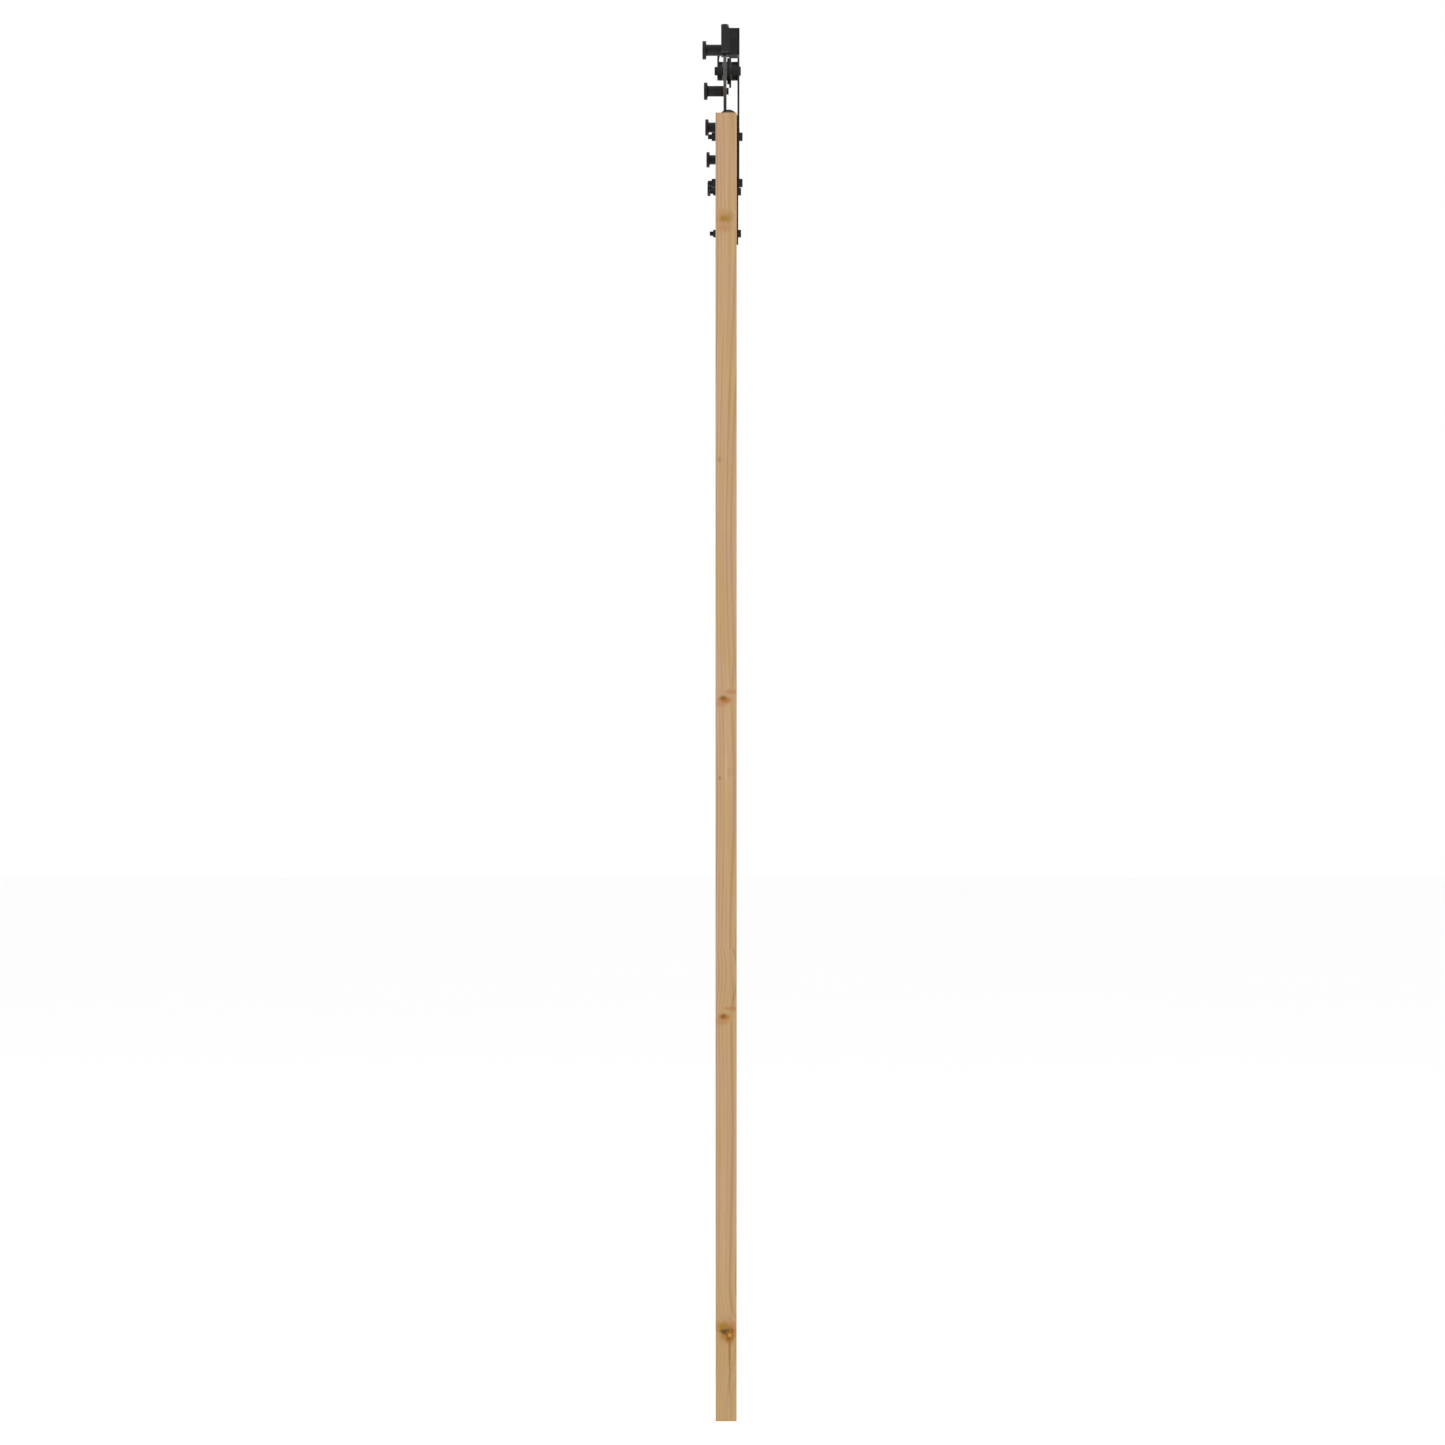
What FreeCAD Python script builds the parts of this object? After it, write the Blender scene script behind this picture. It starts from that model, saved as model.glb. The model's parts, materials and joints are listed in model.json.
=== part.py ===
"""Interior sliding barn door, hung from a flat steel rail on the wall.

X runs along the rail, Z is up, the wall is the plane Y = 0 and the room is on the -Y side.
The origin is on the wall, behind the middle of the rail, at the rail's centre height.
Lengths are millimetres. A depth is a distance out from the wall, so depth d lies at Y = -d.
"""

import FreeCAD, Part
import math
import os

V = FreeCAD.Vector
Y_AXIS, Z_AXIS = V(0, 1, 0), V(0, 0, 1)

# Rail
RAIL_LENGTH = 1800.0
RAIL_HEIGHT = 40.0
RAIL_THICKNESS = 5.0
RAIL_BACK = 31.6
FIXING_SPACING = 415.0
FIXING_COUNT = 5

# Standoffs, which hold the rail off the wall, and the bolts through the rail
FLANGE_RADIUS = 14.0
FLANGE_THICKNESS = 5.8
BARREL_RADIUS = 8.5
WALL_BORE_RADIUS = 4.25
WALL_BORE_DEPTH = 15.0
RAIL_BOLT_RADIUS = 3.0
RAIL_BOLT_LENGTH = 16.0
RAIL_BOLT_HEAD_RADIUS = 5.5
RAIL_BOLT_HEAD_HEIGHT = 3.5
RAIL_BOLT_HEAD_ROUND = 0.7

# Door leaf
DOOR_WIDTH = 850.0
DOOR_HEIGHT = 2100.0
DOOR_THICKNESS = 34.0
DOOR_BACK = 18.9
DOOR_TOP = -42.1
DOOR_MIDDLE_X = -43.0
STILE_WIDTH = 120.0
TOP_RAIL_HEIGHT = 140.0
MIDDLE_RAIL_HEIGHT = 140.0
MIDDLE_RAIL_ABOVE_FOOT = 900.0
BOTTOM_RAIL_HEIGHT = 220.0
EDGE_CHAMFER = 0.5
TENON_LENGTH = 38.0
TENON_SETBACK = 22.0
BOARD_THICKNESS = 18.0
BOARD_GROOVE = 12.0
BOARDS_PER_PANEL = 5
TONGUE_THICKNESS = 6.0
TONGUE_LENGTH = 6.0
BOARD_GAP = 0.6
V_JOINT = 2.6
EXPANSION = 1.0
SNUG = 0.1

# Hangers: one strap each, bent over its roller
HANGER_INSET = 72.0
STRAP_WIDTH = 30.0
STRAP_THICKNESS = 3.1
STRAP_STANDOFF = 1.4
STRAP_BEND_HEIGHT = 55.75
STRAP_BEND_RADIUS = 17.95
STRAP_BOLT_FIRST = 29.0
STRAP_BOLT_SPACING = 75.0
STRAP_BELOW_BOLT = 20.2

# M8 fasteners
M8_RADIUS = 4.0
M8_SHANK = 3.95
M8_ACROSS_FLATS = 13.0
STRAP_BOLT_HEAD = 5.2
STRAP_BOLT_LENGTH = 51.0
STRAP_NUT_HEIGHT = 6.5
STRAP_WASHER_RADIUS = 8.0
AXLE_HEAD_RADIUS = 7.8
AXLE_HEAD_HEIGHT = 2.5
AXLE_HEAD_ROUND = 2.0
AXLE_NUT_HEIGHT = 4.4

# Rollers and what shares their axle
TREAD_RADIUS = 15.2
TREAD_CLEARANCE = 0.1
ROLLER_BACK = 30.1
TREAD_WIDTH = 7.5
FLANGE_WIDTH = 3.3
ROLLER_FLANGE_RADIUS = 21.1
GUARD_RADIUS = 26.9
GUARD_THICKNESS = 3.2
HUB_RADIUS = 12.5
HUB_BORE = 9.0
SPACER_RADIUS = 15.2
BOSS_RADIUS = 6.0
SIDE_GAP = 0.1
BEARING_OUTER = 11.0
BEARING_WIDTH = 7.0
BALL_RADIUS = 1.98
BALL_CIRCLE = 7.5
BALL_COUNT = 7
RACE_GROOVE = 2.1
INNER_RACE_TOP = 6.2
OUTER_RACE_FOOT = 8.8

# End stops
STOP_LENGTH = 38.0
STOP_NOSE = 15.0
STOP_WALL = 3.0
STOP_ROOM_WALL = 3.9
STOP_ROOF = 2.4
STOP_TOP_ROUND = 2.0
STOP_NOSE_FOOT = -15.5
STOP_LEG_FOOT = -18.2
STOP_FIT = 0.1
BUMPER_FRONT = 53.0
BUMPER_ROUND = 1.5
COVER_THICKNESS = 3.1
COVER_CHAMFER = 0.3
SET_SCREW_RADIUS = 3.0
SET_SCREW_FLATS = 10.0
SET_SCREW_HEAD = 6.3
SET_SCREW_CHAMFER = 0.3
SET_SCREW_INSET = 6.5
BUMPER_SCREW_RADIUS = 2.5
BUMPER_SCREW_HEAD_RADIUS = 4.8
BUMPER_SCREW_HEAD = 2.3
BUMPER_SOCKET = 3.0
BUMPER_SOCKET_DEPTH = 1.6

# Anti-jump discs on the door's top edge
DISC_INSET = 170.0
DISC_RADIUS = 14.0
DISC_HEIGHT = 18.0
DISC_OFFSET = 5.0
DISC_SCREW_RADIUS = 2.5
DISC_SCREW_HEAD_RADIUS = 5.0
DISC_SCREW_HEAD = 2.8
DISC_SCREW_LENGTH = 50.0

# Places worked out from the sizes above
RAIL_FRONT = RAIL_BACK + RAIL_THICKNESS
RAIL_MIDDLE = RAIL_BACK + RAIL_THICKNESS / 2
RAIL_TOP = RAIL_HEIGHT / 2
FIXINGS = [(i - (FIXING_COUNT - 1) / 2) * FIXING_SPACING for i in range(FIXING_COUNT)]
DOOR_FRONT = DOOR_BACK + DOOR_THICKNESS
DOOR_CORE = DOOR_BACK + DOOR_THICKNESS / 2
DOOR_FOOT = DOOR_TOP - DOOR_HEIGHT
DOOR_NEAR = DOOR_MIDDLE_X - DOOR_WIDTH / 2
DOOR_FAR = DOOR_MIDDLE_X + DOOR_WIDTH / 2
OPENING_NEAR = DOOR_NEAR + STILE_WIDTH
OPENING_FAR = DOOR_FAR - STILE_WIDTH
MIDDLE_RAIL_FOOT = DOOR_FOOT + MIDDLE_RAIL_ABOVE_FOOT
STRAP_INNER = DOOR_FRONT + STRAP_STANDOFF
STRAP_OUTER = STRAP_INNER + STRAP_THICKNESS
BEND_DEPTH = STRAP_OUTER - STRAP_BEND_RADIUS
WALL_LEG_BACK = BEND_DEPTH - STRAP_BEND_RADIUS
WALL_LEG_FRONT = WALL_LEG_BACK + STRAP_THICKNESS
STRAP_BOLTS = [DOOR_TOP - STRAP_BOLT_FIRST - i * STRAP_BOLT_SPACING for i in range(2)]
ROOM_LEG_ROUND_Z = STRAP_BOLTS[-1] - STRAP_BELOW_BOLT + STRAP_WIDTH / 2
AXLE_Z = RAIL_TOP + TREAD_CLEARANCE + TREAD_RADIUS
ROLLER_FLANGE_BACK = ROLLER_BACK + TREAD_WIDTH
ROLLER_FLANGE_FRONT = ROLLER_FLANGE_BACK + FLANGE_WIDTH
ROLLER_FRONT = ROLLER_FLANGE_FRONT + GUARD_THICKNESS
BEARING_FRONT = ROLLER_BACK + BEARING_WIDTH
STOP_TOP = RAIL_TOP + STOP_ROOF
STOP_BACK = RAIL_BACK - STOP_FIT - STOP_WALL
STOP_FRONT = RAIL_FRONT + STOP_FIT + STOP_ROOM_WALL
COVER_FRONT = BUMPER_FRONT + COVER_THICKNESS
SIDES = {"near": -1, "far": 1}
HANGERS = {"near": DOOR_NEAR + HANGER_INSET, "far": DOOR_FAR - HANGER_INSET}


def save(name, *solids):
    """Write one sub-part: a single solid, or a group of identical fasteners."""
    shape = solids[0] if len(solids) == 1 else Part.makeCompound(list(solids))
    if not shape.isValid():
        raise ValueError(f"{name} is not a valid shape")
    shape.exportStep(f"parts/{name}.step")


def block(x0, x1, depth0, depth1, z0, z1):
    """A box between two X values, two depths and two heights."""
    return Part.makeBox(x1 - x0, depth1 - depth0, z1 - z0, V(x0, -depth1, z0))


def rod(radius, depth0, depth1, x=0.0, z=0.0):
    """A cylinder square to the wall."""
    return Part.makeCylinder(radius, depth1 - depth0, V(x, -depth0, z), V(0, -1, 0))


def post(radius, z0, z1, x, depth):
    """An upright cylinder."""
    return Part.makeCylinder(radius, z1 - z0, V(x, -depth, z0), Z_AXIS)


def turned(profile, x=0.0, z=0.0):
    """A solid of revolution about an axis square to the wall. The profile is (radius, depth) points."""
    points = [V(x, -depth, z + radius) for radius, depth in profile]
    face = Part.Face(Part.makePolygon(points + points[:1]))
    return face.revolve(V(x, 0, z), Y_AXIS, 360)


def hexagon(across_flats, height, place, direction):
    """A hexagonal prism from a centre point, along a direction."""
    radius = across_flats / math.sqrt(3)
    corners = [
        V(radius * math.cos(math.radians(60 * i)), radius * math.sin(math.radians(60 * i)), 0)
        for i in range(7)
    ]
    prism = Part.Face(Part.makePolygon(corners)).extrude(V(0, 0, height))
    prism.Placement = FreeCAD.Placement(place, FreeCAD.Rotation(Z_AXIS, direction))
    return prism


def crowned(prism, across_flats, height, place, direction):
    """Take the corners off a hexagon's outer end, as a bolt head or nut has them."""
    cone = Part.makeCone(
        across_flats / 2 + height * 1.7 + 0.2, across_flats / 2 - 0.2, height, place, direction
    )
    return prism.common(cone)


def hex_head(across_flats, height, place, direction):
    return crowned(
        hexagon(across_flats, height, place, direction), across_flats, height, place, direction
    )


def button_head(radius, height, rim_round, depth, x, z):
    """A low head on a face at the given depth, with a rounded rim and a hexagon socket."""
    top = depth + height
    head = rod(radius, depth, top, x, z)
    rim = [e for e in head.Edges if near(e.BoundBox.YMin, -top) and near(e.BoundBox.YMax, -top)]
    head = head.makeFillet(rim_round, rim)
    socket_depth = height * 0.6
    socket = hexagon(radius * 0.75, socket_depth, V(x, -(top - socket_depth), z), V(0, -1, 0))
    return head.cut(socket)


def ring(outer, inner, depth0, depth1, x, z):
    return rod(outer, depth0, depth1, x, z).cut(rod(inner, depth0, depth1, x, z))


def edges_where(shape, test):
    """The shape's edges whose two ends both pass a test on a point."""
    return [
        edge
        for edge in shape.Edges
        if len(edge.Vertexes) == 2 and all(test(v.Point) for v in edge.Vertexes)
    ]


def near(a, b):
    return abs(a - b) < 1e-6


# ---- rail and its fixings ----


def track_rail():
    half = RAIL_LENGTH / 2
    bar = block(-half, half, RAIL_BACK, RAIL_FRONT, -RAIL_TOP, RAIL_TOP)
    long_edges = [e for e in bar.Edges if near(e.Length, RAIL_LENGTH)]
    bar = bar.makeChamfer(0.5, long_edges)
    for x in FIXINGS:
        bar = bar.cut(rod(RAIL_BOLT_RADIUS + 0.3, RAIL_BACK, RAIL_FRONT, x))
    save("track_rail", bar)


def standoff(number, x):
    """A turned spacer: wall flange, barrel, a blind bore for the wall screw and one for the rail bolt."""
    root = 1.0
    bolt_bore = RAIL_BACK - (RAIL_BOLT_LENGTH - RAIL_THICKNESS) - 2.0
    profile = [
        (0, WALL_BORE_DEPTH),
        (WALL_BORE_RADIUS, WALL_BORE_DEPTH),
        (WALL_BORE_RADIUS, 0),
        (FLANGE_RADIUS - 0.8, 0),
        (FLANGE_RADIUS, 0.8),
        (FLANGE_RADIUS, FLANGE_THICKNESS - 0.8),
        (FLANGE_RADIUS - 0.8, FLANGE_THICKNESS),
        (BARREL_RADIUS + root, FLANGE_THICKNESS),
        (BARREL_RADIUS, FLANGE_THICKNESS + root),
        (BARREL_RADIUS, RAIL_BACK - 0.6),
        (BARREL_RADIUS - 0.6, RAIL_BACK),
        (RAIL_BOLT_RADIUS, RAIL_BACK),
        (RAIL_BOLT_RADIUS, bolt_bore),
        (0, bolt_bore),
    ]
    save(f"standoff_{number}", turned(profile, x))


def rail_bolt(x):
    tip = RAIL_FRONT - RAIL_BOLT_LENGTH
    shank = rod(RAIL_BOLT_RADIUS - 0.05, tip, RAIL_FRONT, x)
    head = button_head(
        RAIL_BOLT_HEAD_RADIUS, RAIL_BOLT_HEAD_HEIGHT, RAIL_BOLT_HEAD_ROUND, RAIL_FRONT, x, 0
    )
    return shank.fuse(head)


# ---- end stops ----


def stop_x(side, inwards):
    """X of a place on an end stop, measured inwards from the stop's outer face."""
    return side * (RAIL_LENGTH / 2 + STOP_NOSE - inwards)


def stop_span(side, start, end):
    """X range between two places on an end stop, lower X first."""
    return sorted((stop_x(side, start), stop_x(side, end)))


def stop_clamp(side):
    """A steel saddle over the rail's end. Its solid nose closes the end and is shorter than its legs."""
    body = block(*stop_span(side, 0, STOP_LENGTH), STOP_BACK, STOP_FRONT, STOP_LEG_FOOT, STOP_TOP)
    long_top = [
        e for e in edges_where(body, lambda p: near(p.z, STOP_TOP)) if near(e.Length, STOP_LENGTH)
    ]
    body = body.makeFillet(STOP_TOP_ROUND, long_top)
    below_nose = block(
        *stop_span(side, -1, STOP_NOSE), STOP_BACK - 1, STOP_FRONT + 1, STOP_LEG_FOOT - 1, STOP_NOSE_FOOT
    )
    slot = block(
        *stop_span(side, STOP_NOSE, STOP_LENGTH + 1),
        RAIL_BACK - STOP_FIT,
        RAIL_FRONT + STOP_FIT,
        STOP_LEG_FOOT - 1,
        RAIL_TOP,
    )
    set_screw_hole = post(
        SET_SCREW_RADIUS, RAIL_TOP - 1, STOP_TOP + 1, stop_x(side, STOP_NOSE + SET_SCREW_INSET), RAIL_MIDDLE
    )
    bumper_screw_hole = rod(
        BUMPER_SCREW_RADIUS, RAIL_BACK, STOP_FRONT + 1, stop_x(side, STOP_NOSE / 2)
    )
    return body.cut([below_nose, slot, set_screw_hole, bumper_screw_hole])


def stop_bumper(side):
    """The rubber block on the clamp's room side, which the guard disc meets at the end of travel."""
    span = stop_span(side, 0, STOP_LENGTH)
    body = block(*span, STOP_FRONT, BUMPER_FRONT, -RAIL_TOP, RAIL_TOP)
    inner = stop_x(side, STOP_LENGTH)
    body = body.makeFillet(BUMPER_ROUND, edges_where(body, lambda p: near(p.x, inner)))
    hole = rod(BUMPER_SCREW_RADIUS + 0.1, STOP_FRONT - 1, BUMPER_FRONT + 1, stop_x(side, STOP_NOSE / 2))
    return body.cut(hole)


def bumper_screw(side, radius=BUMPER_SCREW_RADIUS - 0.05, grow=0.0):
    """A countersunk screw, flush with the cover plate. grow widens the head to cut its seat."""
    profile = [
        (0, RAIL_BACK + 1),
        (radius, RAIL_BACK + 1),
        (radius, COVER_FRONT - BUMPER_SCREW_HEAD),
        (BUMPER_SCREW_HEAD_RADIUS + grow, COVER_FRONT),
        (0, COVER_FRONT),
    ]
    return turned(profile, stop_x(side, STOP_NOSE / 2))


def bumper_screw_with_socket(side):
    place = V(stop_x(side, STOP_NOSE / 2), -(COVER_FRONT - BUMPER_SOCKET_DEPTH), 0)
    return bumper_screw(side).cut(hexagon(BUMPER_SOCKET, BUMPER_SOCKET_DEPTH, place, V(0, -1, 0)))


def stop_cover(side):
    """The thin plate that the bumper screw pulls against the rubber."""
    span = stop_span(side, 0, STOP_LENGTH)
    plate = block(*span, BUMPER_FRONT, COVER_FRONT, -RAIL_TOP, RAIL_TOP)
    plate = plate.makeChamfer(COVER_CHAMFER, edges_where(plate, lambda p: near(p.y, -COVER_FRONT)))
    return plate.cut(bumper_screw(side, BUMPER_SCREW_RADIUS + 0.1, 0.05))


def stop_set_screw(side):
    """The screw that locks the clamp down on the rail's top edge. Two corners of its head face the wall
    and the room."""
    x = stop_x(side, STOP_NOSE + SET_SCREW_INSET)
    head = hexagon(SET_SCREW_FLATS, SET_SCREW_HEAD, V(x, -RAIL_MIDDLE, STOP_TOP), Z_AXIS)
    rim = edges_where(head, lambda p: near(p.z, STOP_TOP + SET_SCREW_HEAD))
    head = head.makeChamfer(SET_SCREW_CHAMFER, rim)
    head.rotate(V(x, -RAIL_MIDDLE, 0), Z_AXIS, 30)
    return head.fuse(post(SET_SCREW_RADIUS - 0.05, RAIL_TOP, STOP_TOP, x, RAIL_MIDDLE))


# ---- door leaf ----


def core(x0, x1, thickness, z0, z1):
    """A box centred in the door's thickness: a tenon, groove, mortise or board."""
    return block(x0, x1, DOOR_CORE - thickness / 2, DOOR_CORE + thickness / 2, z0, z1)


def door_rails():
    """Name, foot height, rail height, and whether it is grooved above and below."""
    return [
        ("top_rail", DOOR_TOP - TOP_RAIL_HEIGHT, TOP_RAIL_HEIGHT, False, True),
        ("middle_rail", MIDDLE_RAIL_FOOT, MIDDLE_RAIL_HEIGHT, True, True),
        ("bottom_rail", DOOR_FOOT, BOTTOM_RAIL_HEIGHT, True, False),
    ]


def panels():
    """Foot and head heights of the two boarded openings."""
    middle_head = MIDDLE_RAIL_FOOT + MIDDLE_RAIL_HEIGHT
    return {
        "upper": (middle_head, DOOR_TOP - TOP_RAIL_HEIGHT),
        "lower": (DOOR_FOOT + BOTTOM_RAIL_HEIGHT, MIDDLE_RAIL_FOOT),
    }


def tenon_heights(foot, height, grooved_above, grooved_below):
    """Foot and head of a rail's tenon, clear of its grooves and of the door's ends."""
    low = foot + (BOARD_GROOVE if grooved_below else TENON_SETBACK)
    high = foot + height - (BOARD_GROOVE if grooved_above else TENON_SETBACK)
    return low, high


def stile(side):
    """A full-height upright, grooved for the boards and mortised for the rails."""
    x0 = DOOR_NEAR if side < 0 else OPENING_FAR
    inner = x0 + STILE_WIDTH if side < 0 else x0
    body = block(x0, x0 + STILE_WIDTH, DOOR_BACK, DOOR_FRONT, DOOR_FOOT, DOOR_TOP)
    outer = DOOR_NEAR if side < 0 else DOOR_FAR
    body = body.makeChamfer(EDGE_CHAMFER, edges_where(body, lambda p: near(p.x, outer)))
    groove = sorted((inner, inner + side * BOARD_GROOVE))
    for foot, head in panels().values():
        low, high = foot - BOARD_GROOVE, head + BOARD_GROOVE
        body = body.cut(core(*groove, BOARD_THICKNESS + SNUG, low, high))
    mortise = sorted((inner, inner + side * (TENON_LENGTH + EXPANSION)))
    for _, foot, height, above, below in door_rails():
        low, high = tenon_heights(foot, height, above, below)
        body = body.cut(core(*mortise, BOARD_THICKNESS + SNUG, low - SNUG, high + SNUG))
    hanger_x = HANGERS["near" if side < 0 else "far"]
    for z in STRAP_BOLTS:
        body = body.cut(rod(M8_RADIUS + 0.2, DOOR_BACK, DOOR_FRONT, hanger_x, z))
    return body


def door_rail(foot, height, above, below):
    """A cross rail between the stiles, with a tenon at each end and grooves for the boards."""
    head = foot + height
    body = block(OPENING_NEAR, OPENING_FAR, DOOR_BACK, DOOR_FRONT, foot, head)
    low, high = tenon_heights(foot, height, above, below)
    tenons = core(OPENING_NEAR - TENON_LENGTH, OPENING_FAR + TENON_LENGTH, BOARD_THICKNESS, low, high)
    body = body.fuse(tenons)
    width = BOARD_THICKNESS + SNUG
    if above:
        body = body.cut(core(OPENING_NEAR - 1, OPENING_FAR + 1, width, head - BOARD_GROOVE, head + 1))
    if below:
        body = body.cut(core(OPENING_NEAR - 1, OPENING_FAR + 1, width, foot - 1, foot + BOARD_GROOVE))
    return body


def board(number, foot, head):
    """A vertical board with a V joint, a tongue on its far edge and a groove in its near edge."""
    pitch = (OPENING_FAR - OPENING_NEAR) / BOARDS_PER_PANEL
    first, last = number == 0, number == BOARDS_PER_PANEL - 1
    reach = BOARD_GROOVE - EXPANSION
    x0 = OPENING_NEAR + number * pitch + (-reach if first else BOARD_GAP / 2)
    x1 = OPENING_NEAR + (number + 1) * pitch + (reach if last else -BOARD_GAP / 2)
    z0, z1 = foot - reach, head + reach
    body = core(x0, x1, BOARD_THICKNESS, z0, z1)
    joints = ([] if first else [x0]) + ([] if last else [x1])
    corners = [
        e
        for e in body.Edges
        if near(e.Length, z1 - z0) and any(near(e.Vertexes[0].X, x) for x in joints)
    ]
    body = body.makeChamfer(V_JOINT, corners)
    if not last:
        body = body.fuse(core(x1 - 1, x1 + TONGUE_LENGTH, TONGUE_THICKNESS, z0, z1))
    if not first:
        cut_to = x0 + TONGUE_LENGTH - BOARD_GAP + EXPANSION
        body = body.cut(core(x0 - 1, cut_to, TONGUE_THICKNESS + SNUG, z0, z1))
    return body.removeSplitter()


def door_leaf():
    for name, side in SIDES.items():
        save(f"stile_{name}", stile(side))
    for name, foot, height, above, below in door_rails():
        body = door_rail(foot, height, above, below)
        if name == "top_rail":
            for x in disc_places().values():
                pilot = DOOR_TOP + DISC_HEIGHT - DISC_SCREW_LENGTH
                body = body.cut(post(DISC_SCREW_RADIUS, pilot, DOOR_TOP + 1, x, disc_screw_depth()))
        save(name, body)
    for panel, (foot, head) in panels().items():
        for number in range(BOARDS_PER_PANEL):
            save(f"{panel}_board_{number + 1}", board(number, foot, head))


# ---- anti-jump discs ----


def disc_places():
    return {"near": DOOR_NEAR + DISC_INSET, "far": DOOR_FAR - DISC_INSET}


def disc_screw_depth():
    """The disc hangs off its screw towards the room, so that its high side lies under the rail."""
    return RAIL_MIDDLE - DISC_OFFSET


def anti_jump_disc(x):
    top = DOOR_TOP + DISC_HEIGHT
    puck = post(DISC_RADIUS, DOOR_TOP, top, x, disc_screw_depth() + DISC_OFFSET)
    rim = [e for e in puck.Edges if near(e.BoundBox.ZMin, top) and near(e.BoundBox.ZMax, top)]
    puck = puck.makeChamfer(0.8, rim)
    puck = puck.cut(post(DISC_SCREW_RADIUS + 0.2, DOOR_TOP, top, x, disc_screw_depth()))
    seat = post(DISC_SCREW_HEAD_RADIUS + 0.3, top - DISC_SCREW_HEAD - 1, top, x, disc_screw_depth())
    return puck.cut(seat)


def anti_jump_screw(x):
    seat = DOOR_TOP + DISC_HEIGHT - DISC_SCREW_HEAD - 1
    depth = disc_screw_depth()
    tip = DOOR_TOP + DISC_HEIGHT - DISC_SCREW_LENGTH
    head = post(DISC_SCREW_HEAD_RADIUS, seat, seat + DISC_SCREW_HEAD, x, depth)
    socket = hexagon(4.0, 1.6, V(x, -depth, seat + DISC_SCREW_HEAD - 1.6), Z_AXIS)
    shank = post(DISC_SCREW_RADIUS - 0.05, tip + 5, seat, x, depth)
    point = Part.makeCone(0.4, DISC_SCREW_RADIUS - 0.05, 5, V(x, -depth, tip), Z_AXIS)
    return head.cut(socket).fuse([shank, point])


# ---- hangers ----


def strap_section():
    """The strap's side view: a long leg on the door, a half round over the roller, a short leg behind."""
    centre = V(0, -BEND_DEPTH, STRAP_BEND_HEIGHT)

    def bend(radius):
        ends = (centre + V(0, radius, 0), centre + V(0, 0, radius), centre + V(0, -radius, 0))
        return Part.Arc(*ends).toShape()

    inner_radius = STRAP_BEND_RADIUS - STRAP_THICKNESS
    wall_leg = [
        V(0, -WALL_LEG_BACK, STRAP_BEND_HEIGHT),
        V(0, -WALL_LEG_BACK, AXLE_Z),
        V(0, -WALL_LEG_FRONT, AXLE_Z),
        V(0, -WALL_LEG_FRONT, STRAP_BEND_HEIGHT),
    ]
    room_leg = [
        V(0, -STRAP_OUTER, STRAP_BEND_HEIGHT),
        V(0, -STRAP_OUTER, ROOM_LEG_ROUND_Z),
        V(0, -STRAP_INNER, ROOM_LEG_ROUND_Z),
        V(0, -STRAP_INNER, STRAP_BEND_HEIGHT),
    ]
    legs = [Part.makeLine(a, b) for run in (wall_leg, room_leg) for a, b in zip(run, run[1:])]
    edges = Part.__sortEdges__(legs + [bend(STRAP_BEND_RADIUS), bend(inner_radius)])
    return Part.Face(Part.Wire(edges))


def strap(x):
    """One hanger strap. Both legs end in a half round as wide as the strap."""
    body = strap_section().extrude(V(STRAP_WIDTH, 0, 0))
    body.translate(V(x - STRAP_WIDTH / 2, 0, 0))
    wall_end = rod(STRAP_WIDTH / 2, WALL_LEG_BACK, WALL_LEG_FRONT, x, AXLE_Z)
    room_end = rod(STRAP_WIDTH / 2, STRAP_INNER, STRAP_OUTER, x, ROOM_LEG_ROUND_Z)
    body = body.fuse([wall_end, room_end]).removeSplitter()
    body = body.cut(rod(M8_RADIUS, WALL_LEG_BACK - 1, STRAP_OUTER + 1, x, AXLE_Z))
    for z in STRAP_BOLTS:
        body = body.cut(rod(M8_RADIUS + 0.2, STRAP_INNER - 1, STRAP_OUTER + 1, x, z))
    return body


def strap_bolt(x, z):
    head = hex_head(M8_ACROSS_FLATS, STRAP_BOLT_HEAD, V(x, -STRAP_OUTER, z), V(0, -1, 0))
    tip = STRAP_OUTER - STRAP_BOLT_LENGTH
    shank = rod(M8_SHANK, tip, STRAP_OUTER, x, z)
    end = [e for e in shank.Edges if near(e.BoundBox.YMin, -tip) and near(e.BoundBox.YMax, -tip)]
    return head.fuse(shank.makeChamfer(0.8, end))


def nut(height, depth, x, z):
    """A hexagon nut whose seat is at the given depth, standing towards the wall."""
    place = V(x, -depth, z)
    body = hex_head(M8_ACROSS_FLATS, height, place, Y_AXIS)
    return body.cut(rod(M8_RADIUS, depth - height - 1, depth + 1, x, z))


def axle_bolt(x):
    """The axle: a button-headed bolt through both legs of the strap, flush with its nut."""
    shank = rod(M8_SHANK, WALL_LEG_BACK - AXLE_NUT_HEIGHT, STRAP_OUTER, x, AXLE_Z)
    head = button_head(AXLE_HEAD_RADIUS, AXLE_HEAD_HEIGHT, AXLE_HEAD_ROUND, STRAP_OUTER, x, AXLE_Z)
    return shank.fuse(head)


def wall_spacer(x):
    """From the strap's short leg to the bearing's inner ring."""
    shoulder = ROLLER_BACK - SIDE_GAP
    profile = [
        (M8_RADIUS, WALL_LEG_FRONT),
        (SPACER_RADIUS, WALL_LEG_FRONT),
        (SPACER_RADIUS, shoulder),
        (BOSS_RADIUS, shoulder),
        (BOSS_RADIUS, ROLLER_BACK),
        (M8_RADIUS, ROLLER_BACK),
    ]
    return turned(profile, x, AXLE_Z)


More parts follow.
